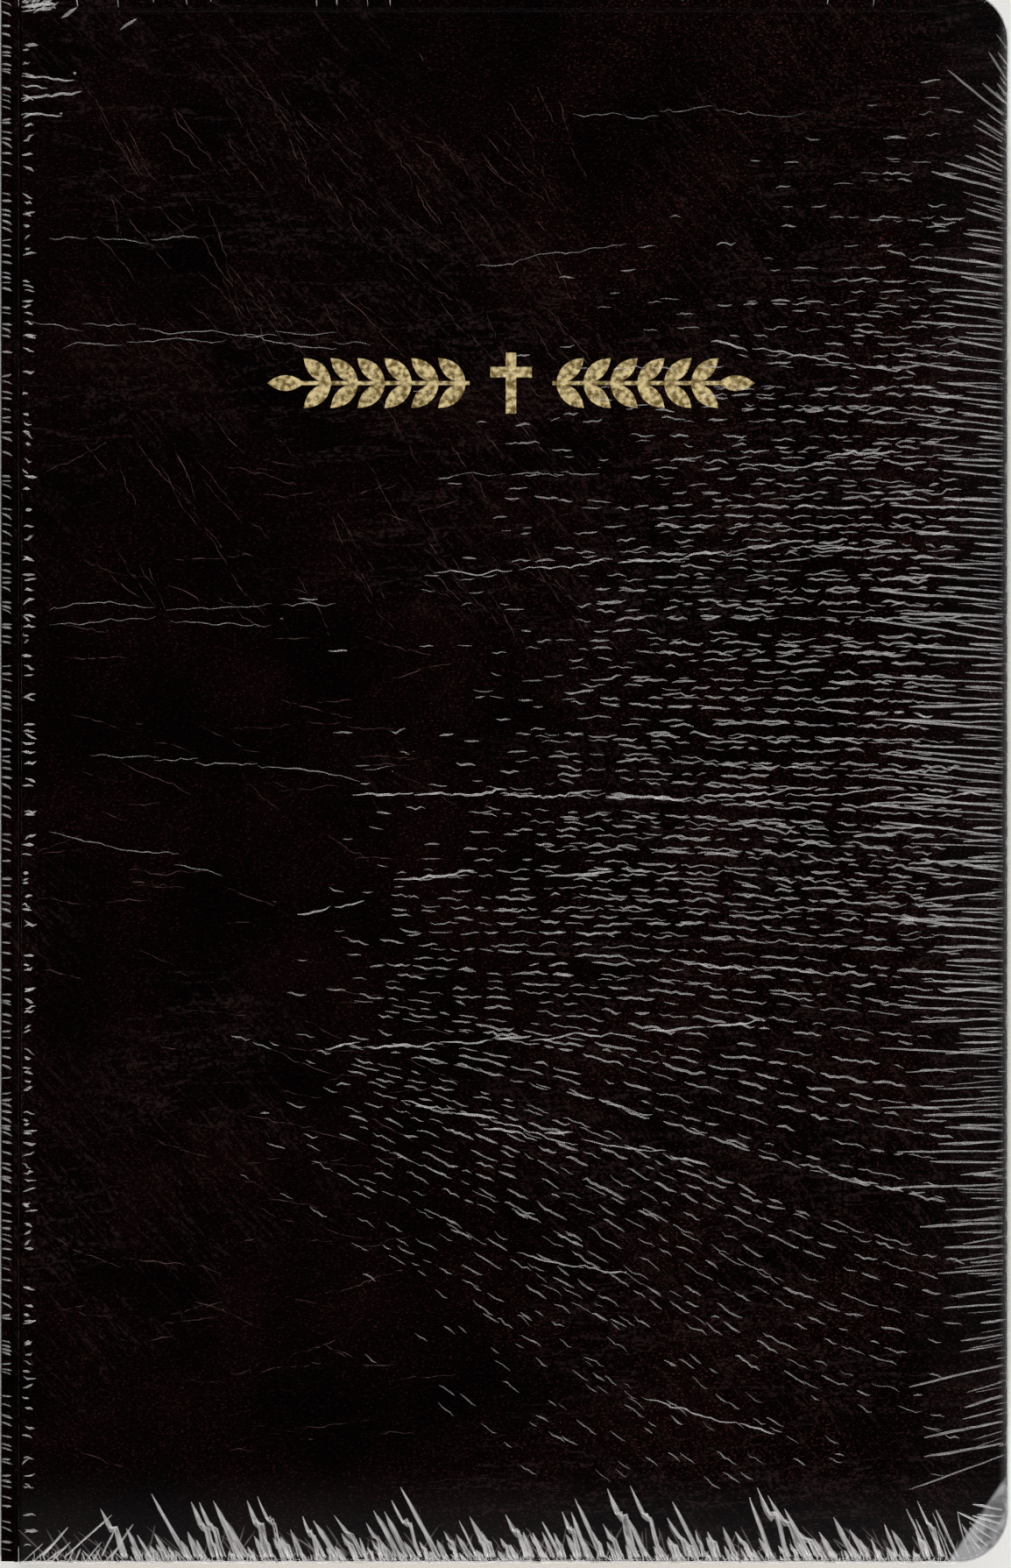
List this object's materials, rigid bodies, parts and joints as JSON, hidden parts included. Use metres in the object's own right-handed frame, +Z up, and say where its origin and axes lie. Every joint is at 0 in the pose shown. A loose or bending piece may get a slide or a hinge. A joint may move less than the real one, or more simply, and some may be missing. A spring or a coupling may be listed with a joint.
{
  "type": "bible",
  "caption": "Thick limp-leather book lying closed on its back cover in clear shrink film, gilt page edges, plain foil ornament; cover, leaves and middle open.",
  "frame": {"origin": "middle of the outline, on the surface the book lies on", "axes": "+Z up through the front cover, +Y towards the head of the book, +X towards the fore-edge, spine at -X"},
  "size_m": [0.1464, 0.228, 0.0321],
  "materials": {
    "film": "clear heat-shrink film, glossy and wrinkled",
    "leather": "near-black burgundy bonded leather, fine pebble grain, satin",
    "board": "grey board, matte",
    "endpaper": "dark burgundy endpaper, matte",
    "page": "thin off-white paper, gilt edges",
    "cloth": "open-weave binding cloth",
    "band": "twisted silk",
    "liner": "brown lining paper",
    "foil": "stamped gold foil"
  },
  "bodies": {
    "back_cover": {"back_film": "film", "back_leather": "leather", "back_board": "board", "back_pastedown": "endpaper", "back_flyleaf": "endpaper", "back_joint_leather": "leather"},
    "spine": {"spine_film": "film", "spine_leather": "leather", "spine_liner": "liner", "mull": "cloth", "headband": "band", "tailband": "band", "rear_gutter": "page", "front_gutter": "page"},
    "front_joint": {"front_joint_leather": "leather", "front_section_1": "page"},
    "rear_section_1": {"rear_section_1": "page"},
    "rear_section_2": {"rear_section_2": "page"},
    "rear_section_3": {"rear_section_3": "page"},
    "rear_section_4": {"rear_section_4": "page"},
    "rear_section_5": {"rear_section_5": "page"},
    "rear_section_6": {"rear_section_6": "page"},
    "rear_section_7": {"rear_section_7": "page"},
    "rear_section_8": {"rear_section_8": "page"},
    "front_section_7": {"front_section_7": "page"},
    "front_section_6": {"front_section_6": "page"},
    "front_section_5": {"front_section_5": "page"},
    "front_section_4": {"front_section_4": "page"},
    "front_section_3": {"front_section_3": "page"},
    "front_section_2": {"front_section_2": "page"},
    "contents_leaf": {"contents_leaf": "page"},
    "title_leaf": {"title_leaf": "page"},
    "presentation_leaf": {"presentation_leaf": "page"},
    "front_flyleaf": {"front_flyleaf": "endpaper"},
    "front_cover": {"front_film": "film", "front_leather": "leather", "front_board": "board", "front_pastedown": "endpaper", "foil_cross": "foil", "foil_branch_left": "foil", "foil_branch_right": "foil"}
  },
  "joints": [
    {"name": "book_opening", "type": "hinge", "parent": "back_cover", "child": "spine", "pos_m": [-0.07115, 0, 0.00215], "axis": [0, 1, 0], "range_deg": [-90, 0], "deforming": ["back_joint_leather", "front_joint_leather", "rear_gutter", "front_gutter"]},
    {"name": "rear_fold_1", "type": "hinge", "parent": "spine", "child": "rear_section_1", "pos_m": [-0.07029, 0, 0.00301], "axis": [0, 1, 0], "range_deg": [0, 90]},
    {"name": "rear_fold_2", "type": "hinge", "parent": "spine", "child": "rear_section_2", "pos_m": [-0.06889, 0, 0.00441], "axis": [0, 1, 0], "range_deg": [0, 90]},
    {"name": "rear_fold_3", "type": "hinge", "parent": "spine", "child": "rear_section_3", "pos_m": [-0.06749, 0, 0.00581], "axis": [0, 1, 0], "range_deg": [0, 90]},
    {"name": "rear_fold_4", "type": "hinge", "parent": "spine", "child": "rear_section_4", "pos_m": [-0.0661, 0, 0.0072], "axis": [0, 1, 0], "range_deg": [0, 90]},
    {"name": "rear_fold_5", "type": "hinge", "parent": "spine", "child": "rear_section_5", "pos_m": [-0.0647, 0, 0.0086], "axis": [0, 1, 0], "range_deg": [0, 90]},
    {"name": "rear_fold_6", "type": "hinge", "parent": "spine", "child": "rear_section_6", "pos_m": [-0.0633, 0, 0.01], "axis": [0, 1, 0], "range_deg": [0, 90]},
    {"name": "rear_fold_7", "type": "hinge", "parent": "spine", "child": "rear_section_7", "pos_m": [-0.0619, 0, 0.0114], "axis": [0, 1, 0], "range_deg": [0, 90]},
    {"name": "rear_fold_8", "type": "hinge", "parent": "spine", "child": "rear_section_8", "pos_m": [-0.0605, 0, 0.0128], "axis": [0, 1, 0], "range_deg": [0, 90]},
    {"name": "front_fold_7", "type": "hinge", "parent": "spine", "child": "front_section_7", "pos_m": [-0.06136, 0, 0.02016], "axis": [0, 1, 0], "range_deg": [-90, 0]},
    {"name": "front_fold_6", "type": "hinge", "parent": "spine", "child": "front_section_6", "pos_m": [-0.06276, 0, 0.02156], "axis": [0, 1, 0], "range_deg": [-90, 0]},
    {"name": "front_fold_5", "type": "hinge", "parent": "spine", "child": "front_section_5", "pos_m": [-0.06416, 0, 0.02296], "axis": [0, 1, 0], "range_deg": [-90, 0]},
    {"name": "front_fold_4", "type": "hinge", "parent": "spine", "child": "front_section_4", "pos_m": [-0.06555, 0, 0.02435], "axis": [0, 1, 0], "range_deg": [-90, 0]},
    {"name": "front_fold_3", "type": "hinge", "parent": "spine", "child": "front_section_3", "pos_m": [-0.06695, 0, 0.02575], "axis": [0, 1, 0], "range_deg": [-90, 0]},
    {"name": "front_fold_2", "type": "hinge", "parent": "spine", "child": "front_section_2", "pos_m": [-0.06835, 0, 0.02715], "axis": [0, 1, 0], "range_deg": [-90, 0]},
    {"name": "front_joint_fold", "type": "hinge", "parent": "spine", "child": "front_joint", "pos_m": [-0.07115, 0, 0.02995], "axis": [0, 1, 0], "range_deg": [-90, 0]},
    {"name": "contents_leaf_turn", "type": "hinge", "parent": "front_joint", "child": "contents_leaf", "pos_m": [-0.0708, 0, 0.0316], "axis": [0, -1, 0], "range_deg": [0, 180]},
    {"name": "title_leaf_turn", "type": "hinge", "parent": "contents_leaf", "child": "title_leaf", "pos_m": [-0.0708, 0, 0.0316], "axis": [0, -1, 0], "range_deg": [0, 180]},
    {"name": "presentation_leaf_turn", "type": "hinge", "parent": "title_leaf", "child": "presentation_leaf", "pos_m": [-0.0708, 0, 0.0316], "axis": [0, -1, 0], "range_deg": [0, 180]},
    {"name": "front_flyleaf_turn", "type": "hinge", "parent": "presentation_leaf", "child": "front_flyleaf", "pos_m": [-0.0708, 0, 0.0316], "axis": [0, -1, 0], "range_deg": [0, 180]},
    {"name": "front_cover_hinge", "type": "hinge", "parent": "front_flyleaf", "child": "front_cover", "pos_m": [-0.0708, 0, 0.0316], "axis": [0, -1, 0], "range_deg": [0, 180]}
  ],
  "couplings": [
    {"joint": "rear_fold_1", "follows": "book_opening", "ratio": -1},
    {"joint": "rear_fold_2", "follows": "book_opening", "ratio": -1},
    {"joint": "rear_fold_3", "follows": "book_opening", "ratio": -1},
    {"joint": "rear_fold_4", "follows": "book_opening", "ratio": -1},
    {"joint": "rear_fold_5", "follows": "book_opening", "ratio": -1},
    {"joint": "rear_fold_6", "follows": "book_opening", "ratio": -1},
    {"joint": "rear_fold_7", "follows": "book_opening", "ratio": -1},
    {"joint": "rear_fold_8", "follows": "book_opening", "ratio": -1},
    {"joint": "front_fold_7", "follows": "book_opening", "ratio": 1},
    {"joint": "front_fold_6", "follows": "book_opening", "ratio": 1},
    {"joint": "front_fold_5", "follows": "book_opening", "ratio": 1},
    {"joint": "front_fold_4", "follows": "book_opening", "ratio": 1},
    {"joint": "front_fold_3", "follows": "book_opening", "ratio": 1},
    {"joint": "front_fold_2", "follows": "book_opening", "ratio": 1},
    {"joint": "front_joint_fold", "follows": "book_opening", "ratio": 1}
  ]
}
